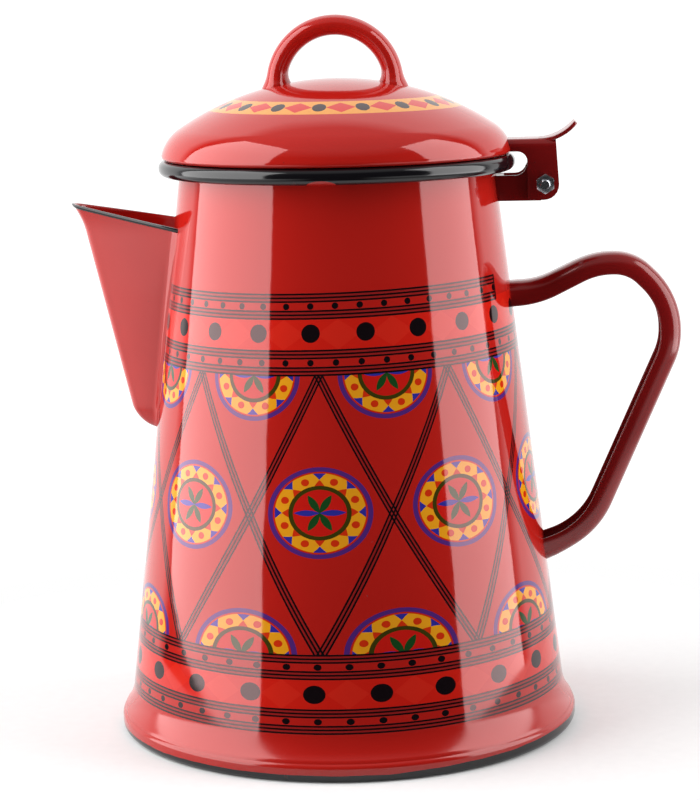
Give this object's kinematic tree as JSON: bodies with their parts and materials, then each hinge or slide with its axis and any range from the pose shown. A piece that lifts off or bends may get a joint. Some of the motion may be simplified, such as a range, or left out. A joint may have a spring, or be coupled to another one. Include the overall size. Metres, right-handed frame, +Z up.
{
  "type": "coffee pot",
  "caption": "Conical enamelled steel coffee pot with a beak spout, a channel handle and a domed lid that turns on a bolt.",
  "frame": {"origin": "on the floor under the pot's axis", "axes": "+Z up along the pot's axis, -X towards the spout, +X towards the handle and the hinge"},
  "size_m": [0.197, 0.15, 0.2311],
  "materials": {
    "enamel_red": "glossy red enamel with printed ornament",
    "enamel_black": "glossy black enamel",
    "enamel_maroon": "glossy dark red enamel",
    "fastener_steel": "bright plated steel"
  },
  "bodies": {
    "pot": {"body_shell": "enamel_red", "rim_bead": "enamel_black", "base_seam": "enamel_black", "base_pan": "enamel_red", "spout_shell": "enamel_red", "spout_edge": "enamel_black", "handle": "enamel_maroon", "hinge_bracket": "enamel_maroon"},
    "lid": {"lid_shell": "enamel_red", "lid_skirt": "enamel_red", "lid_knob": "enamel_red", "hinge_leaf": "enamel_maroon", "hinge_bolt": "fastener_steel", "hinge_nut": "fastener_steel"}
  },
  "joints": [
    {"name": "lid_hinge", "type": "hinge", "parent": "pot", "child": "lid", "pos_m": [0.0668, 0, 0.1766], "axis": [0, 1, 0], "range_deg": [0, 170]}
  ]
}
